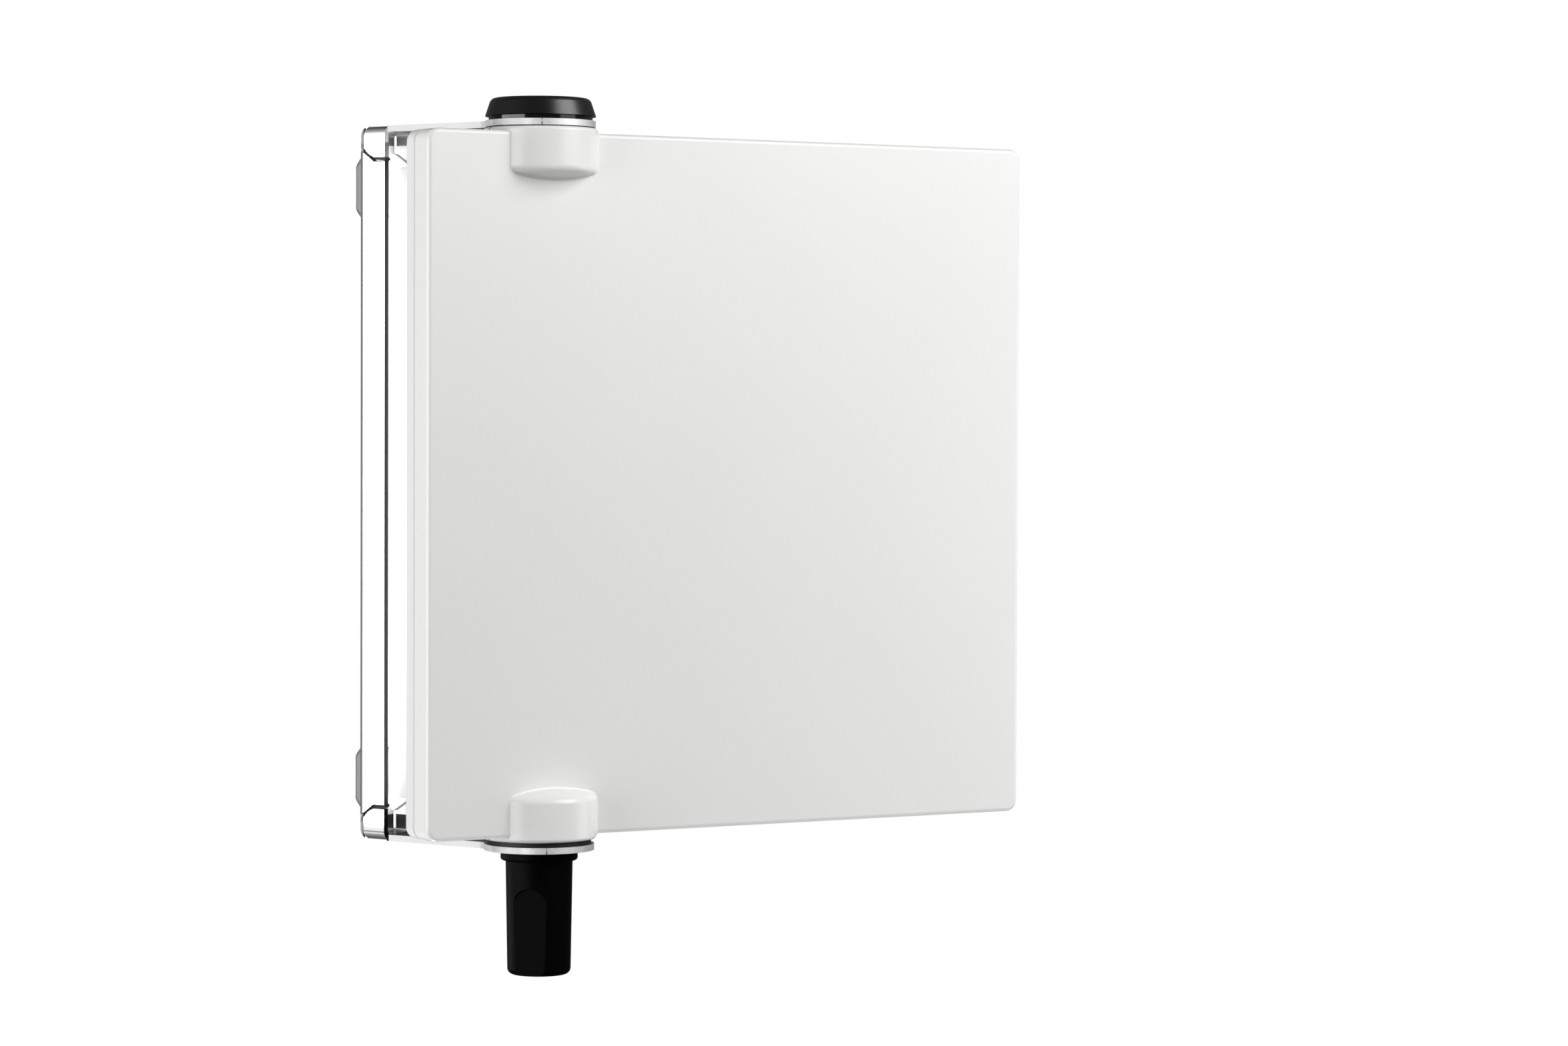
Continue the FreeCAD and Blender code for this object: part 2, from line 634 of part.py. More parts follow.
def mounting_bracket():
    strip = CORNER_STRIP / 2
    straight = ARM_SPAN / 2 - BEND_R
    web = block(-strip, strip, WEB_BACK - SHEET, WEB_BACK, -straight, straight)
    pad_heights = [-WALL_HOLE_SPACING / 2, WALL_HOLE_SPACING / 2]
    pads = [wall_pad(z) for z in pad_heights]
    bracket = joined([web_channel(), web, upper_arm(), mirrored(upper_arm())] + pads)
    for z in pad_heights:
        bracket = bracket.cut(pad_form(z, WEB_BACK - SHEET, PAD_PRESS_INSET))
        bracket = bracket.cut(cross_rod(WALL_HOLE_R, 0, z, WEB_BACK - PAST, PAST))
    hub = point(0, HUB_Y, 0)
    upper_hole = rod(PIVOT_R + 2 * RUN_CLEARANCE + BUSH_WALL, 0, ARM_SPAN).translated(hub)
    lower_hole = rod(SOCKET_R + 2 * RUN_CLEARANCE + BUSH_WALL, -ARM_SPAN, 0).translated(hub)
    return bracket.cut(upper_hole).cut(lower_hole)


def place_on_bracket(shape):
    """Moves a piece from the panel's axes to the swivel axis, without turning it."""
    return shape.translated(point(0, HUB_Y, PANEL_LIFT))


def place_on_panel(shape):
    """Turns a piece of the panel to its stored angle and moves it to the swivel axis."""
    return place_on_bracket(shape.rotated(point(0, 0, 0), point(0, 0, 1), SWIVEL_ANGLE))


BRACKET_PIECES = {"upper_bush": upper_bush, "lower_bush": lower_bush}
PANEL_PIECES = {
    "front_cover": front_cover, "rear_cover": rear_cover, "cover_seal": cover_seal,
    "cover_screws": cover_screws, "antenna_board": antenna_board, "reflector_plate": reflector_plate,
    "radiator_elements": radiator_elements, "board_spacers": board_spacers, "board_screws": board_screws,
    "shield_can": shield_can, "coax_jumper": coax_jumper, "pivot_screw": pivot_screw,
    "pivot_nut": pivot_nut, "pivot_washer": pivot_washer, "pivot_cap": pivot_cap, "f_socket": f_socket,
    "socket_insulator": socket_insulator, "socket_contact": socket_contact, "lock_washer": lock_washer,
    "lock_nut": lock_nut, "cable_boot": cable_boot,
}

os.makedirs("parts", exist_ok=True)
mounting_bracket().exportStep("parts/mounting_bracket.step")
for name, make in BRACKET_PIECES.items():
    place_on_bracket(make()).exportStep("parts/" + name + ".step")
for name, make in PANEL_PIECES.items():
    place_on_panel(make()).exportStep("parts/" + name + ".step")
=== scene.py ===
# %% [markdown]
# # An outdoor television antenna
#
# A flat white panel turns between the arms of a bright folded bracket. A black cap covers the upper
# pivot and a rubber boot covers the cable socket below. The construction comes from the frame, at its
# real size, so this lesson gives it finishes, light and a camera, and models the small things that
# only the eye needs.

# %% Load the frame
import json
import math
from types import SimpleNamespace

import bmesh
import bpy
from mathutils import Matrix, Vector


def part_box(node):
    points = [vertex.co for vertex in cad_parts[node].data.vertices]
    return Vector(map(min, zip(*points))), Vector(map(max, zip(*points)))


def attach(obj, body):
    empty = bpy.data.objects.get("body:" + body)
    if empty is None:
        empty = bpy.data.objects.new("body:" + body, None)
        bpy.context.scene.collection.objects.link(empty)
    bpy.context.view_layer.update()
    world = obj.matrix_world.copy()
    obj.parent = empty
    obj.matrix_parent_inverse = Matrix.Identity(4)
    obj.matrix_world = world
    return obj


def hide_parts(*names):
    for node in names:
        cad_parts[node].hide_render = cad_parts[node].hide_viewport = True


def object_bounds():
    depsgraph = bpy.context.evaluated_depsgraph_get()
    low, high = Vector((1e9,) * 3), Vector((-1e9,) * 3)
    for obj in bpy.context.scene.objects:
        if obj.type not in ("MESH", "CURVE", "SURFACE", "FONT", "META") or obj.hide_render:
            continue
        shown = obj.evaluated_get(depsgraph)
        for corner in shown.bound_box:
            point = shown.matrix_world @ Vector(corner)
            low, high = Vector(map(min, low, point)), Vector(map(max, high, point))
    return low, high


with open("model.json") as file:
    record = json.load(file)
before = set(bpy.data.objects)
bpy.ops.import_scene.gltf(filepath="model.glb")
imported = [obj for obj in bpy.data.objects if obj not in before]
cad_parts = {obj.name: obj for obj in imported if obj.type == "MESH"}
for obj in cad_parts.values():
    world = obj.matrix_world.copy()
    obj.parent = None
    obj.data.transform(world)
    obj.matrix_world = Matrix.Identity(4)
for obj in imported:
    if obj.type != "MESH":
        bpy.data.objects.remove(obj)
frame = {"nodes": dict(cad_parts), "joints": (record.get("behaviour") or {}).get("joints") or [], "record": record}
cad_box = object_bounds()
nodes = frame["nodes"]
scene = bpy.context.scene
MM = 0.001

# %% [markdown]
# ## Places to work from
#
# The swivel joint gives the upright axis that everything turns on. The panel is stored at an angle to
# the wall, so a small matrix leads from the panel's own square axes to the frame.

# %% Swivel axis and the panel's own axes
HUB = Vector(frame["joints"][0]["pos_m"])
PANEL_TURN = math.radians(-23)

panel_axes = Matrix.Translation(HUB) @ Matrix.Rotation(PANEL_TURN, 4, "Z")
bracket_low, bracket_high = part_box("mounting_bracket")
print("hub", HUB, "bracket", bracket_low, bracket_high)

# %% [markdown]
# ## Shader maths as Python
#
# Node trees are easier to read as expressions. `Value` stands for one output socket and adds Math nodes
# when it meets an operator. A mask is a value that is 1 on one part of a piece and 0 elsewhere, so the
# methods that make soft steps are here too.

# %% Values
class Value:
    """One output of a material's node tree, which can be used in a sum."""

    def __init__(self, finish, socket):
        self.finish = finish
        self.socket = socket

    def math(self, operation, *others):
        sockets = dict(enumerate((self,) + others))
        return self.finish.node("ShaderNodeMath", {"operation": operation}, sockets)

    def __add__(self, other):
        return self.math("ADD", other)

    def __mul__(self, other):
        return self.math("MULTIPLY", other)

    def __sub__(self, other):
        return self.math("SUBTRACT", other)

    def __rsub__(self, other):
        return (self * -1) + other

    __radd__ = __add__
    __rmul__ = __mul__

    def size(self):
        return self.math("ABSOLUTE")

    def either(self, *others):
        """The largest of this and the others, which joins masks."""
        joined = self
        for other in others:
            joined = joined.math("MAXIMUM", other)
        return joined

    def past(self, edge, soft):
        """A soft step that is 0 up to an edge and 1 a little further on."""
        sockets = {"Value": self, "From Min": edge, "From Max": edge + soft}
        return self.finish.node("ShaderNodeMapRange", {"interpolation_type": "SMOOTHSTEP"}, sockets)

    def before(self, edge, soft):
        """A soft step that is 1 up to an edge and 0 a little further on."""
        return 1 - self.past(edge, soft)

    def within(self, low, high, soft):
        """1 between low and high, with soft ends."""
        return self.past(low - soft, soft) * self.before(high, soft)


# %% [markdown]
# `Finish` is one material around a Principled shader. Its `node` method makes any node, `noise`, `blend`
# and `bump` are short ways to nodes that are used often, and `surface` fills the shader's sockets.

# %% Finishes
class Finish:
    """A material with one Principled shader and what feeds it."""

    def __init__(self, name):
        self.material = bpy.data.materials.new(name)
        self.material.use_nodes = True
        self.tree = self.material.node_tree
        self.tree.nodes.clear()
        self.shader = self.tree.nodes.new("ShaderNodeBsdfPrincipled")
        output = self.tree.nodes.new("ShaderNodeOutputMaterial")
        self.tree.links.new(self.shader.outputs["BSDF"], output.inputs["Surface"])
        self.place = self.node("ShaderNodeTexCoord", output="Object")
        self.facing = self.node("ShaderNodeTexCoord", output="Normal")

    def put(self, socket, value):
        if isinstance(value, Value):
            self.tree.links.new(value.socket, socket)
        else:
            socket.default_value = value

    def node(self, kind, settings=None, sockets=None, output=0):
        made = self.tree.nodes.new(kind)
        for name, value in (settings or {}).items():
            setattr(made, name, value)
        for name, value in (sockets or {}).items():
            self.put(made.inputs[name], value)
        return Value(self, made.outputs[output])

    def axes(self, vector):
        return [self.node("ShaderNodeSeparateXYZ", sockets={0: vector}, output=i) for i in range(3)]

    def noise(self, size, stretch=(1, 1, 1), detail=2.0):
        """Noise whose blots are about one size wide, drawn out along the axes by stretch."""
        scale = [1 / (size * share) for share in stretch]
        spread = self.node("ShaderNodeMapping", sockets={"Vector": self.place, "Scale": scale})
        return self.node("ShaderNodeTexNoise", sockets={"Vector": spread, "Scale": 1.0, "Detail": detail})

    def blend(self, factor, first, second):
        settings = {"data_type": "RGBA"}
        return self.node("ShaderNodeMix", settings, {0: factor, 6: first, 7: second}, output=2)

    def bump(self, height, depth):
        return self.node("ShaderNodeBump", sockets={"Height": height, "Distance": depth, "Strength": 1.0})

    def surface(self, **sockets):
        for name, value in sockets.items():
            self.put(self.shader.inputs[name.replace("_", " ")], value)
        return self.material


def grey(level, warmth=0.0):
    """A neutral colour, or a slightly warm one."""
    return (level * (1 + warmth), level, level * (1 - warmth), 1.0)


# %% [markdown]
# ## Camera
#
# The photograph was taken with a long lens from the left and a little above the middle, so upright
# edges stay almost upright. A camera could be aimed by a constraint. Here its place and its turn are
# worked out from a few distances to the swivel axis and a few angles, which can be changed one by one.

# %% Camera
LENS = 103.1
SENSOR_WIDTH = 36.0
NEAREST = 0.01
HEADING = math.radians(35.5)
HUB_DEPTH = 1.410
HUB_LEFT = 0.0767
EYE_HEIGHT = 0.0276
LOOK_DOWN = math.radians(1.583)
ROLL = math.radians(0.2)

ahead = Vector((math.cos(HEADING), math.sin(HEADING), 0))
right = Vector((math.sin(HEADING), -math.cos(HEADING), 0))
up = Vector((0, 0, 1))
camera = bpy.data.objects.new("camera", bpy.data.cameras.new("camera"))
scene.collection.objects.link(camera)
camera.data.lens = LENS
camera.data.sensor_width = SENSOR_WIDTH
camera.data.clip_start = NEAREST
camera.location = HUB - ahead * HUB_DEPTH + right * HUB_LEFT + up * EYE_HEIGHT
view_line = ahead * math.cos(LOOK_DOWN) - up * math.sin(LOOK_DOWN)
roll_turn = Matrix.Rotation(ROLL, 4, "Z").to_quaternion()
camera.rotation_mode = "QUATERNION"
camera.rotation_quaternion = view_line.to_track_quat("-Z", "Y") @ roll_turn
scene.camera = camera
print("camera", camera.location)

# %% [markdown]
# ## Stage
#
# The background of the photograph is plain white. A white wall would also shine into the bright metal and
# wash out its dark lines. So the floor and the room look white only to the camera itself, and are a dim
# grey as light on the object. The Light Path node tells the two apart.

# %% Stage
FLOOR_HEIGHT = -1.8
FLOOR_RADIUS = 20.0
FLOOR_SEGMENTS = 96
FLOOR_LIGHT = 0.10
ROOM_LIGHT = 0.14


def white_to_the_eye(tree, shader_kind, output_kind, level):
    """White where the camera looks straight at it, and a dim grey as a light on the object."""
    tree.nodes.clear()
    output = tree.nodes.new(output_kind)
    path = tree.nodes.new("ShaderNodeLightPath")
    seen = tree.nodes.new(shader_kind)
    lit = tree.nodes.new(shader_kind)
    mix = tree.nodes.new("ShaderNodeMixShader")
    seen.inputs["Color"].default_value = grey(1.0)
    lit.inputs["Color"].default_value = grey(level)
    tree.links.new(path.outputs["Is Camera Ray"], mix.inputs[0])
    tree.links.new(lit.outputs[0], mix.inputs[1])
    tree.links.new(seen.outputs[0], mix.inputs[2])
    tree.links.new(mix.outputs[0], output.inputs["Surface"])


world = bpy.data.worlds.new("room")
world.use_nodes = True
white_to_the_eye(world.node_tree, "ShaderNodeBackground", "ShaderNodeOutputWorld", ROOM_LIGHT)
scene.world = world
scene.view_settings.view_transform = "Standard"

floor_mesh = bpy.data.meshes.new("floor")
shape = bmesh.new()
bmesh.ops.create_circle(shape, cap_ends=True, segments=FLOOR_SEGMENTS, radius=FLOOR_RADIUS,
                        matrix=Matrix.Translation((0, 0, FLOOR_HEIGHT)))
shape.to_mesh(floor_mesh)
shape.free()
floor = bpy.data.objects.new("floor", floor_mesh)
scene.collection.objects.link(floor)
floor_look = bpy.data.materials.new("pale_floor")
floor_look.use_nodes = True
white_to_the_eye(floor_look.node_tree, "ShaderNodeEmission", "ShaderNodeOutputMaterial", FLOOR_LIGHT)
floor_mesh.materials.append(floor_look)
print("floor at", FLOOR_HEIGHT)

# %% [markdown]
# ## Lights
#
# Two large soft boxes stand left and right of the camera. They could light everything, but white plastic,
# bright metal and black rubber need different amounts of light. So the smaller lights are linked to the
# pieces they are for and leave the others as they are. A small box on the right fills in the panel's face,
# one below lifts its lower edge, and one at the back is for its rear cover and the screws there. A box at
# the left, from behind, draws the side of the boot. A card in front lifts the rims of the bracket's discs.

# %% Soft boxes
def area_light(name, place, target, width, height, power):
    """A flat lamp at a place, aimed at a target, that the camera itself doesn't see."""
    lamp = bpy.data.lights.new(name, "AREA")
    lamp.shape = "RECTANGLE"
    lamp.size = width
    lamp.size_y = height
    lamp.energy = power
    box = bpy.data.objects.new(name, lamp)
    scene.collection.objects.link(box)
    box.location = place
    box.rotation_mode = "QUATERNION"
    box.rotation_quaternion = (target - place).to_track_quat("-Z", "Y")
    box.visible_camera = False
    return box


def soft_box(name, bearing, rise, distance, width, height, power):
    """A light aimed at the object, degrees to the right of the camera and degrees above level."""
    middle = sum(cad_box, Vector()) / 2
    turn = Matrix.Rotation(math.radians(bearing), 3, "Z")
    rise_angle = math.radians(rise)
    away = (turn @ -ahead) * math.cos(rise_angle) + up * math.sin(rise_angle)
    return area_light(name, middle + away * distance, middle, width, height, power)


soft_box("left_box", bearing=-61, rise=0, distance=1.3, width=1.4, height=0.9, power=18)
soft_box("right_box", bearing=64, rise=29, distance=1.35, width=0.95, height=0.95, power=17.9)
wall_box = soft_box("wall_box", bearing=165, rise=0, distance=1.3, width=0.9, height=0.9, power=9)
front_card = soft_box("front_card", bearing=-35, rise=0, distance=1.6, width=0.9, height=0.9, power=4.6)
fill_box = soft_box("fill_box", bearing=95, rise=-6, distance=0.55, width=0.3, height=0.3, power=0.55)
under_box = soft_box("under_box", bearing=-148, rise=-78, distance=1.0, width=0.3, height=0.3, power=7)
rim_box = soft_box("rim_box", bearing=-118, rise=0, distance=1.3, width=0.5, height=0.9, power=3)
print("soft boxes", len(bpy.data.lights))

# %% [markdown]
# Little light from the soft boxes reaches the inside of the bracket's narrow channel, so a thin lamp in
# the gap behind the panel lights it from close by.

# %% Lamp in the gap, and what the smaller lights are for
GAP_LAMP_SIDE = 1 * MM
GAP_LAMP_DEPTH = -24 * MM
GAP_LAMP_WIDTH = 10 * MM
GAP_LAMP_HEIGHT = 205 * MM
GAP_LAMP_POWER = 0.05


def lights_only(box, *pieces):
    """Links a light to a few pieces, so that it leaves the others as they are."""
    lit = bpy.data.collections.new(box.name + "_lights")
    for piece in pieces:
        lit.objects.link(piece)
    box.light_linking.receiver_collection = lit


gap_place = Vector((GAP_LAMP_SIDE, GAP_LAMP_DEPTH, 0))
gap_target = Vector((GAP_LAMP_SIDE, 0, 0))
gap_lamp = area_light("gap_lamp", gap_place, gap_target, GAP_LAMP_WIDTH, GAP_LAMP_HEIGHT, GAP_LAMP_POWER)
for box in (fill_box, under_box):
    lights_only(box, nodes["front_cover"], nodes["rear_cover"])
lights_only(rim_box, nodes["cable_boot"])
for box in (front_card, gap_lamp):
    lights_only(box, nodes["mounting_bracket"])
print("lights", len(bpy.data.lights))

# %% [markdown]
# ## White moulded covers
#
# The covers are moulded in white weatherproof plastic with a fine satin grain. The grain could be a
# picture laid on by a UV map. Noise on object coordinates needs no map and has no seams, so the grain is
# a small bump of noise, and a slower noise lets the slightly warm white wander a little, as mouldings
# do. Where the two covers meet is a thin grey line. The distance from the middle plane of the panel
# finds it all the way round.

# %% Cover plastic
JOINT_HALF = 0.1 * MM
JOINT_SOFT = 0.25 * MM


def cover_plastic():
    finish = Finish("cover_plastic")
    grain = finish.noise(0.35 * MM, detail=1.0)
    drift = finish.noise(60 * MM, detail=1.0)
    white = finish.blend(drift, (0.80, 0.80, 0.787, 1.0), (0.83, 0.83, 0.818, 1.0))
    x, y = finish.axes(finish.place)[:2]
    through = panel_axes.to_3x3() @ Vector((0, 1, 0))
    from_joint = (x * through.x + (y - HUB.y) * through.y).size()
    tone = finish.blend(from_joint.past(JOINT_HALF, JOINT_SOFT), grey(0.45), white)
    normal = finish.bump(grain, 0.006 * MM)
    return finish.surface(Base_Color=tone, Roughness=grain * 0.10 + 0.24, Normal=normal, IOR=1.5)


finishes = {"cover_plastic": cover_plastic()}
print("cover plastic nodes", len(finishes["cover_plastic"].node_tree.nodes))

# %% [markdown]
# ## Bright bracket
#
# The bracket is folded from bright rolled sheet. Rolling leaves fine streaks along the strip, and where
# the sheet was cut its edges are rougher, mottled and darker than its faces. The edges and folds could
# be picked face by face. Here they are found by their place and by the way the surface faces, which needs
# no picking and stays sharp from close by. The lengths below are the thickness of the sheet and the planes
# that it is folded to. `drop` is the height of the bracket's top less a point's own distance above or
# below the middle, so it is small at both arms, and `lower` is 1 on the lower half.

# %% Places on the bracket
SHEET = 2.0 * MM
WEB_BACK = -4.2 * MM
WEB_FRONT = WEB_BACK - SHEET
FLANGE_DEPTH = 11.6 * MM
FLANGE_FRONT = WEB_BACK - FLANGE_DEPTH
FLANGE_OUTSIDE = 9.0 * MM
FLANGE_INSIDE = FLANGE_OUTSIDE - SHEET
TAB_HEIGHT = 10.2 * MM
MIDDLE_HALF = 1.0 * MM
HAIR = 0.1 * MM
SQUARE_FACING = 0.9
SQUARE_SOFT = 0.07
TURN_START = 0.1
TURN_END = 0.97
TURN_SOFT = 0.02
FACING_SOFT = 0.2


def sheet_places(finish):
    """Where a point of the bracket is, and which way its surface faces."""
    x, y, z = finish.axes(finish.place)
    facing_x, facing_y, facing_z = finish.axes(finish.facing)
    at = SimpleNamespace(x=x, y=y, aside=x.size(), drop=bracket_high.z - z.size())
    at.sideways = facing_x.size()
    at.frontwards = facing_y * -1
    at.level = facing_z.size()
    at.lower = z.before(-MIDDLE_HALF, 2 * MIDDLE_HALF)
    at.arm = y.before(FLANGE_FRONT - 5 * HAIR, 4 * HAIR)
    at.tabs = 1 - at.arm
    return at


def square_on(facing):
    """1 where a surface faces almost straight along an axis."""
    return facing.past(SQUARE_FACING, SQUARE_SOFT)


def turning(facing):
    """1 where a surface is on its way round a fold."""
    return facing.within(TURN_START, TURN_END, TURN_SOFT)


# %% [markdown]
# The arms end in the two discs, and the cut edge of the sheet runs round them. The flanges and the tabs
# end in a cut edge too, and so do both sides of the strip that is left at each corner.

# %% Edges of the sheet
UPRIGHT_FACING = 0.2
FRONT_FACING = 0.25


def arm_edges(at):
    """The rim of an arm and its disc, its straight sides, and the face towards the panel."""
    rim = at.drop.before(SHEET + 2 * HAIR, 2 * HAIR) * at.level.before(UPRIGHT_FACING, FACING_SOFT) * at.arm
    side = rim * square_on(at.sideways)
    inner_face = square_on(at.level) * at.drop.within(SHEET - 2 * HAIR, SHEET + 2 * HAIR, HAIR) * at.arm
    return rim, side, inner_face


def sheet_ends(at):
    """The front edges of the flanges, the ends of the tabs, and the sides of the corner strips."""
    front_edge = at.frontwards.past(FRONT_FACING, FACING_SOFT) * at.tabs
    front_edge = front_edge * at.y.before(FLANGE_FRONT + 2 * HAIR, 2 * HAIR)
    tab_end = front_edge * at.drop.before(TAB_HEIGHT + 2 * HAIR, 2 * HAIR)
    strip_end = square_on(at.sideways) * at.y.past(WEB_FRONT - HAIR, HAIR)
    strip_end = strip_end * at.aside.within(FLANGE_INSIDE - HAIR, FLANGE_INSIDE + HAIR, HAIR)
    return front_edge - tab_end, tab_end, strip_end


# %% [markdown]
# A notch parts each tab from its flange. From the web it slants, and from its knee it runs level to the
# front. In the photograph its edges are dark lines, apart from the slanting stretch on the far side, and
# the rim of each disc has one short dark mark. The lines along the notches, the front edges of the
# flanges, the ends of the lower tabs and the lower arm's sides near the web are painted near black, as
# painted shade; the mark on each rim is a nick.

# %% Dark lines
NOTCH_TOP = 6.6 * MM
NOTCH_BOTTOM = 12.0 * MM
NOTCH_BACK = -5.0 * MM
NOTCH_KNEE = -11.2 * MM
NOTCH_DROP = 10.65 * MM
NOTCH_SLOPE = 0.7
NOTCH_HALF = 0.65 * MM
NOTCH_FACING = 0.3
MARK_HEADING = math.radians(-54.5)
MARK_START = 1.3 * MM
MARK_END = 1.45 * MM
MARK_SOFT = 0.15 * MM
MARK_LOWER_SHIFT = 1.9 * MM
MARK_PATCH = 0.42
MARK_PATCH_SOFT = 0.10


def notches(at):
    """The lines along the notches, the far side behind the knee, and the far slant itself."""
    by_notch = at.drop.within(NOTCH_TOP, NOTCH_BOTTOM, 4 * HAIR)
    edge = at.level.past(NOTCH_FACING, FACING_SOFT) * by_notch * at.y.before(NOTCH_BACK, 4 * HAIR)
    middle = (at.y - NOTCH_KNEE).either(0.0) * -NOTCH_SLOPE + NOTCH_DROP
    rim = (at.drop - middle).size().before(NOTCH_HALF, 1.5 * HAIR)
    rim = rim * at.aside.past(FLANGE_INSIDE - HAIR, 3 * HAIR)
    far_side = at.x.past(FLANGE_INSIDE - 2 * HAIR, 3 * HAIR) * at.y.past(NOTCH_KNEE - 2 * HAIR, 4 * HAIR)
    return edge.either(rim), far_side, far_side * by_notch


def shear_mark(at, rim, mottle):
    """A short broken mark across the near rim of each disc."""
    along = at.x * math.cos(MARK_HEADING) + (at.y - HUB.y) * math.sin(MARK_HEADING)
    mark = (along - at.lower * MARK_LOWER_SHIFT).within(MARK_START, MARK_END, MARK_SOFT)
    near = at.x.before(-MIDDLE_HALF, MIDDLE_HALF)
    return rim * near * mark * mottle.past(MARK_PATCH, MARK_PATCH_SOFT)


# %% [markdown]
# The channel between the flanges is lit by its own lamp, and its inside is painted a little brighter, as
# painted light; its corners behind the arms are painted dark, as painted shade. The folds and the pressed
# pads are a little rougher than the flat faces, as metal is where it was stretched; the folds of the arms
# and the lower tab next to its fold are also painted darker, as painted shade.

# %% Folds and the channel
CORNER_DROP = 5.4 * MM
CORNER_LOWER_SHIFT = 1.4 * MM
FOLD_END = 3.5 * MM
FOLD_SOFT = 0.5 * MM
REAR_FOLD = -7.4 * MM
REAR_FOLD_SOFT = 0.6 * MM
LOW_TAB_SOFT = 3.0 * MM


def channel(at):
    """The inside of the channel, and its corners behind the arms."""
    inside = at.aside.before(FLANGE_INSIDE + HAIR / 2, HAIR) * at.y.before(WEB_FRONT + HAIR, 2 * HAIR)
    inside = inside * at.drop.past(SHEET + 2 * HAIR, 2 * HAIR)
    corner = inside * (at.drop - at.lower * CORNER_LOWER_SHIFT).before(CORNER_DROP, 2 * HAIR)
    return inside, corner


def folds(at):
    """The folds of the arms, the folds of the flanges, and the lower tab next to its fold."""
    arm_fold = at.tabs * turning(at.level) * at.drop.before(FOLD_END, FOLD_SOFT)
    rear_fold = at.y.past(REAR_FOLD, REAR_FOLD_SOFT) * turning(at.sideways)
    low_tab = at.lower * at.tabs * at.sideways.past(TURN_END, TURN_SOFT)
    low_tab = low_tab * at.aside.past(FLANGE_OUTSIDE - 3 * HAIR, 2 * HAIR)
    return arm_fold, rear_fold, low_tab * at.drop.before(FOLD_END, LOW_TAB_SOFT)


# %% [markdown]
# With the parts found, the colour is a row of blends. It starts with the bright faces, and each line lays
# the tone of one more part over them. The roughness is a sum over the same parts.

# %% Bracket metal
STUB_START = -18.0 * MM
TAB_FADE = 4.8 * MM
TAB_FADE_SOFT = 0.8 * MM
STRIP_FADE = -5.8 * MM
STRIP_FADE_SOFT = 1.2 * MM
FOLD_FACING = 0.5


def bracket_metal():
    finish = Finish("bracket_metal")
    streaks = finish.noise(0.5 * MM, stretch=(1, 60, 60), detail=3.0)
    mottle = finish.noise(0.9 * MM, detail=3.0)
    at = sheet_places(finish)
    rim, arm_side, arm_inside = arm_edges(at)
    flange_end, tab_end, strip_end = sheet_ends(at)
    notch, far_side, far_slant = notches(at)
    inside, corner = channel(at)
    arm_fold, rear_fold, low_tab = folds(at)
    pad = at.y.past(WEB_BACK + HAIR, 2 * HAIR)
    stub = arm_side * at.lower * at.y.past(STUB_START, 4 * HAIR)
    # Painted shade: the notch lines, the flanges' front edges, the lower tab ends and the lower arm's sides near
    # the web are painted near black. The short mark on each disc rim is a nick.
    painted_shade_and_nick_line = flange_end.either(notch, tab_end * at.lower, shear_mark(at, rim, mottle), stub)
    painted_shade_and_nick_line = painted_shade_and_nick_line * (1 - far_side)
    dull_edge_with_painted_light = arm_side.either(strip_end, tab_end)
    raw_edge = rim.either(dull_edge_with_painted_light)

    # One tone for the upper arm and one for the lower, for painted shade that differs between them.
    def by_arm(upper, lower):
        return finish.blend(at.lower, grey(upper), grey(lower))

    # Painted light: the inside of the channel is painted a little brighter than the outer faces.
    bright = finish.blend(inside, finish.blend(streaks, grey(0.88), grey(0.93)), grey(0.98))
    raw = finish.blend(mottle, grey(0.62), grey(0.85))
    # Painted light on the tab ends: near the arm they are painted almost white as a painted highlight, and further
    # down dark grey as painted shade. The lower tab ends are painted near black further on, with the dark lines.
    down_tab = at.drop.past(TAB_FADE, TAB_FADE_SOFT)
    dull = finish.blend(down_tab, finish.blend(mottle, grey(0.42), grey(0.56)), grey(0.30))
    dull = finish.blend(tab_end * (1 - down_tab), dull, grey(0.95))
    # Painted shade: the cut sides of the corner strips are painted from near black beside the tabs to dark grey
    # towards the back of the web.
    strip_painted_shade = finish.blend(at.y.past(STRIP_FADE, STRIP_FADE_SOFT), grey(0.01), grey(0.28))
    dull = finish.blend(strip_end, dull, strip_painted_shade)
    tone = finish.blend(raw_edge, bright, finish.blend(dull_edge_with_painted_light, raw, dull))
    # Painted shade: the outer face of the lower tab next to its fold, and on the next line the folds of the arms
    # that face up or down, darker at the upper arm.
    tone = finish.blend(low_tab, tone, grey(0.19))
    tone = finish.blend(arm_fold * at.level.past(FOLD_FACING, 2 * FACING_SOFT), tone, by_arm(0.25, 0.50))
    tone = finish.blend(painted_shade_and_nick_line, tone, grey(0.012))
    # Painted shade: the face of each arm towards the panel is painted grey under the upper arm and near black on
    # top of the lower arm.
    tone = finish.blend(arm_inside, tone, by_arm(0.35, 0.04))
    # Painted shade: the corners of the channel behind the arms are painted dark, darker at the lower arm.
    tone = finish.blend(corner, tone, by_arm(0.26, 0.075))
    tone = finish.blend(pad, tone, grey(0.36))

    rough = streaks * 0.05 + 0.18 + inside * 0.3 + arm_fold.either(pad) * 0.27
    rough = rough + rear_fold * 0.08 + far_slant * 0.6
    rough = rough + raw_edge * (mottle * 0.1 + 0.38) + painted_shade_and_nick_line * 0.3
    normal = finish.bump(streaks * 0.1 + mottle * raw_edge, 0.01 * MM)
    return finish.surface(Base_Color=tone, Metallic=1.0, Roughness=rough, Normal=normal)


finishes["bracket_metal"] = bracket_metal()
print("bracket metal nodes", len(finishes["bracket_metal"].node_tree.nodes))

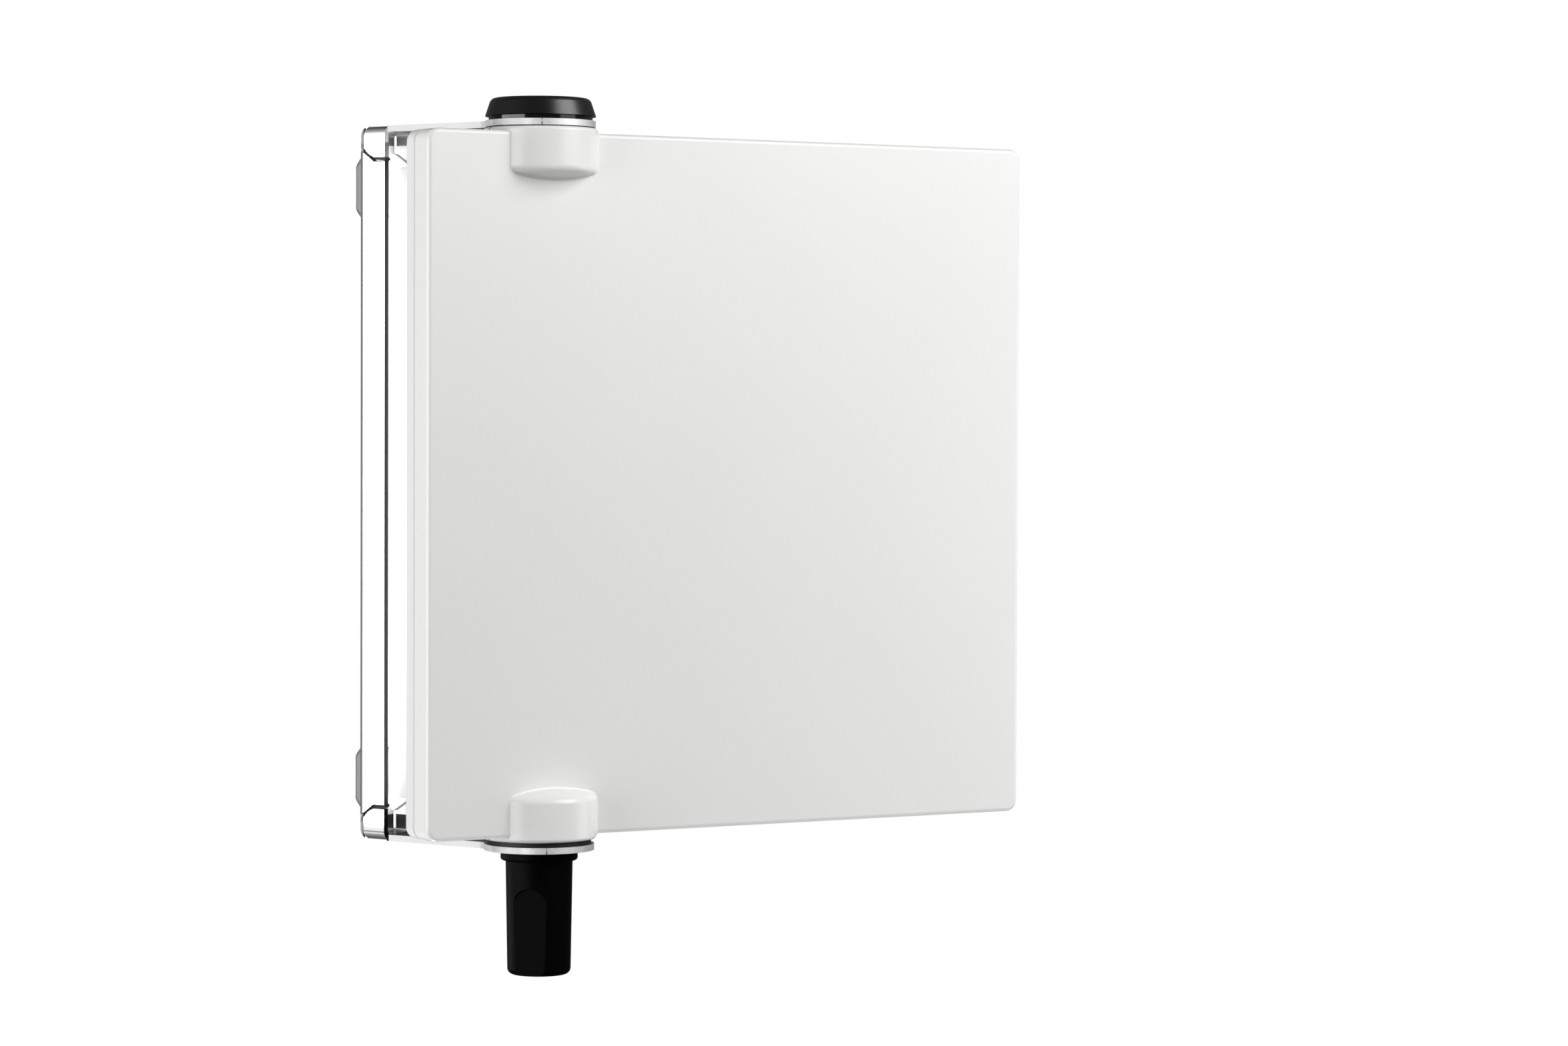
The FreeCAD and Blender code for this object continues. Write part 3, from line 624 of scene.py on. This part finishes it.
# %% [markdown]
# ## Black plastics and rubber
#
# One flat black would do for the cap, the bushes and the boot, but their highlights differ. The cap has a
# satin grain that spreads them, the upper bush is polished and the lower one dull, and the boot is soft
# rubber with a dull bloom. So each has its own noise and roughness.

# %% Cap, bushes and boot
def cap_plastic():
    finish = Finish("cap_plastic")
    grain = finish.noise(0.25 * MM, detail=1.0)
    tone = finish.blend(finish.noise(8 * MM), grey(0.001), grey(0.002))
    normal = finish.bump(grain, 0.008 * MM)
    finish.surface(IOR=1.5, Specular_IOR_Level=0.6)
    return finish.surface(Base_Color=tone, Roughness=grain * 0.10 + 0.275, Normal=normal)


def bush_plastic():
    finish = Finish("bush_plastic")
    wander = finish.noise(6 * MM)
    tone = finish.blend(wander, grey(0.001), grey(0.002))
    height = finish.axes(finish.place)[2]
    dull = height.before(-MIDDLE_HALF, 2 * MIDDLE_HALF)
    return finish.surface(Base_Color=tone, Roughness=wander * 0.06 + 0.08 + dull * 0.5, IOR=1.5)


def boot_rubber():
    finish = Finish("boot_rubber")
    grain = finish.noise(0.3 * MM, detail=2.0)
    bloom = finish.noise(7 * MM, stretch=(1, 1, 3), detail=3.0)
    tone = finish.blend(bloom, grey(0.0005), grey(0.0015))
    normal = finish.bump(grain, 0.012 * MM)
    finish.surface(IOR=1.48, Specular_IOR_Level=0.03)
    return finish.surface(Base_Color=tone, Roughness=bloom * 0.12 + 0.38, Normal=normal)


for make in (cap_plastic, bush_plastic, boot_rubber):
    finishes[make.__name__] = make()
print("finishes so far", sorted(finishes))

# %% [markdown]
# ## Pieces inside
#
# Inside are plated fasteners, a green laminate board with copper foil, a mill-finish reflector, a tinned
# can and the turned parts of the socket. Most of them show only when the antenna is opened, so two
# functions with a few settings each are enough: a metal with drawn-out streaks and a plastic with a fine
# grain.

# %% Inner finishes
def metal(name, level, warmth, roughness, streak):
    finish = Finish(name)
    wander = finish.noise(streak, stretch=(1, 1, 6), detail=2.0)
    tone = finish.blend(wander, grey(level * 0.88, warmth), grey(level, warmth))
    return finish.surface(Base_Color=tone, Metallic=1.0, Roughness=wander * 0.1 + roughness)


def plain_plastic(name, dark, light, roughness):
    finish = Finish(name)
    wander = finish.noise(3 * MM, detail=2.0)
    tone = finish.blend(wander, dark + (1.0,), light + (1.0,))
    normal = finish.bump(finish.noise(0.3 * MM), 0.008 * MM)
    return finish.surface(Base_Color=tone, Roughness=wander * 0.1 + roughness, Normal=normal)


METALS = {
    "fastener_steel": dict(level=0.62, warmth=0.02, roughness=0.28, streak=1.0 * MM),
    "reflector_metal": dict(level=0.80, warmth=0.0, roughness=0.30, streak=2.0 * MM),
    "copper": dict(level=0.42, warmth=0.55, roughness=0.25, streak=1.5 * MM),
    "tinned_steel": dict(level=0.72, warmth=0.01, roughness=0.33, streak=3.0 * MM),
    "socket_metal": dict(level=0.68, warmth=0.04, roughness=0.22, streak=0.8 * MM),
}
PLASTICS = {
    "seal_rubber": dict(dark=(0.02, 0.02, 0.02), light=(0.035, 0.035, 0.035), roughness=0.65),
    "board_laminate": dict(dark=(0.03, 0.13, 0.06), light=(0.04, 0.16, 0.07), roughness=0.35),
    "spacer_plastic": dict(dark=(0.70, 0.68, 0.60), light=(0.76, 0.74, 0.66), roughness=0.5),
    "jumper_jacket": dict(dark=(0.03, 0.03, 0.03), light=(0.05, 0.05, 0.05), roughness=0.45),
    "insulator_plastic": dict(dark=(0.80, 0.80, 0.77), light=(0.86, 0.86, 0.83), roughness=0.5),
}

finishes.update({name: metal(name, **look) for name, look in METALS.items()})
finishes.update({name: plain_plastic(name, **look) for name, look in PLASTICS.items()})
print("finishes", len(finishes))

# %% [markdown]
# ## Giving the pieces their finish
#
# The record names a material slot for each piece, and each finish has the name of its slot. So one loop
# dresses them all.

# %% Assign the finishes
for row in frame["record"]["subparts"]:
    part = nodes[row["node"]]
    part.data.materials.clear()
    part.data.materials.append(finishes[row["material_slot"]])

# %% [markdown]
# ## Cross-head screws of the back
#
# The frame's screws are plain rods with plain heads. The eight that show on the back get a rounded head
# with a cross recess. The cross could be cut by a Boolean. Drawing loops of edges on gives a closed shape
# without one: the face of the head is filled between the cross and the rim, the cross is drawn down into
# a narrower floor, and the rim is drawn out, over and along the shank to the tip.

# %% One screw
HEAD_R = 3.0 * MM
HEAD_HEIGHT = 1.7 * MM
HEAD_ROUND = 0.6 * MM
HEAD_SEGMENTS = 48
ROUND_STEPS = 5
SHANK_R = 1.45 * MM
TIP_R = 0.5 * MM
TIP_LENGTH = 1.5 * MM
CROSS_REACH = 1.6 * MM
CROSS_HALF = 0.42 * MM
CROSS_DEPTH = 1.0 * MM
CROSS_TAPER = 0.7


def drawn_on(shape, edges, move):
    """Extrudes a loop of edges, moves its new points and returns its new edges."""
    made = bmesh.ops.extrude_edge_only(shape, edges=edges)["geom"]
    points = {vert for vert in made if isinstance(vert, bmesh.types.BMVert)}
    for vert in points:
        vert.co = move(vert.co)
    return [edge for edge in shape.edges if set(edge.verts) <= points]


def to_ring(radius, height):
    """A move that takes a point straight outwards or inwards to a ring."""
    def move(place):
        flat = Vector((place.x, place.y, 0)).normalized() * radius
        return Vector((flat.x, flat.y, height))
    return move


def to_cross_floor(place):
    """A move that takes a corner of the cross down to its narrower floor."""
    return Vector((place.x * CROSS_TAPER, place.y * CROSS_TAPER, -CROSS_DEPTH))


def closed_loop(shape, points):
    verts = [shape.verts.new(point) for point in points]
    return [shape.edges.new((vert, verts[i - 1])) for i, vert in enumerate(verts)]


def cross_outline():
    """The twelve corners of a cross, a quarter at a time."""
    quarter = [(CROSS_REACH, -CROSS_HALF), (CROSS_REACH, CROSS_HALF), (CROSS_HALF, CROSS_HALF)]
    for i in range(4):
        turn = Matrix.Rotation(math.radians(90 * i), 3, "Z")
        for x, y in quarter:
            yield turn @ Vector((x, y, 0))


def side_rings(length):
    """The radius and height of each ring, from the rounded rim of the head to the tip."""
    for i in range(1, ROUND_STEPS + 1):
        angle = math.radians(90 * i / ROUND_STEPS)
        yield HEAD_R - HEAD_ROUND + HEAD_ROUND * math.sin(angle), HEAD_ROUND * (math.cos(angle) - 1)
    yield HEAD_R, -HEAD_HEIGHT
    yield SHANK_R, -HEAD_HEIGHT
    yield SHANK_R, TIP_LENGTH - length
    yield TIP_R, -length


def screw_shape(length):
    """One screw around Z, with the face of its head at height 0."""
    shape = bmesh.new()
    rim = bmesh.ops.create_circle(shape, segments=HEAD_SEGMENTS, radius=HEAD_R - HEAD_ROUND)["verts"]
    rim_edges = list({edge for vert in rim for edge in vert.link_edges})
    cross_edges = closed_loop(shape, cross_outline())
    bmesh.ops.triangle_fill(shape, use_beauty=True, edges=rim_edges + cross_edges)
    cross_floor = drawn_on(shape, cross_edges, to_cross_floor)
    bmesh.ops.triangle_fill(shape, use_beauty=True, edges=cross_floor)
    edges = rim_edges
    for radius, height in side_rings(length):
        edges = drawn_on(shape, edges, to_ring(radius, height))
    bmesh.ops.triangle_fill(shape, use_beauty=True, edges=edges)
    bmesh.ops.recalc_face_normals(shape, faces=shape.faces)
    return shape


# %% [markdown]
# The eight stand at the corners and at the middles of the sides of the node's own box. Each is turned a
# little differently, as screws are once they are tight.

# %% Eight screws in the back
FIRST_TURN = 25
COLUMN_TURN = 37
ROW_TURN = 61
SHARP_ANGLE = math.radians(35)

points = [panel_axes.inverted() @ vert.co for vert in nodes["cover_screws"].data.vertices]
low = Vector([min(point[i] for point in points) for i in range(3)])
high = Vector([max(point[i] for point in points) for i in range(3)])
columns = [low.x + HEAD_R, (low.x + high.x) / 2, high.x - HEAD_R]
rows = [low.z + HEAD_R, (low.z + high.z) / 2, high.z - HEAD_R]
outwards = Matrix.Rotation(math.radians(-90), 4, "X")
screw_mesh = bpy.data.meshes.new("cover_screw_heads")
screws = bmesh.new()
for i, x in enumerate(columns):
    for j, z in enumerate(rows):
        if (i, j) == (1, 1):
            continue
        screw = screw_shape(high.y - low.y)
        turned = Matrix.Rotation(math.radians(FIRST_TURN + COLUMN_TURN * i + ROW_TURN * j), 4, "Z")
        screw.transform(panel_axes @ Matrix.Translation((x, high.y, z)) @ outwards @ turned)
        screw.to_mesh(screw_mesh)
        screw.free()
        screws.from_mesh(screw_mesh)
screws.to_mesh(screw_mesh)
screws.free()
screw_mesh.shade_smooth()
screw_mesh.set_sharp_from_angle(angle=SHARP_ANGLE)
screw_mesh.materials.append(finishes["fastener_steel"])
screw_heads = bpy.data.objects.new("cover_screw_heads", screw_mesh)
scene.collection.objects.link(screw_heads)
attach(screw_heads, "panel")
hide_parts("cover_screws")
lights_only(wall_box, nodes["rear_cover"], screw_heads)
print("screws", len(screw_mesh.polygons))
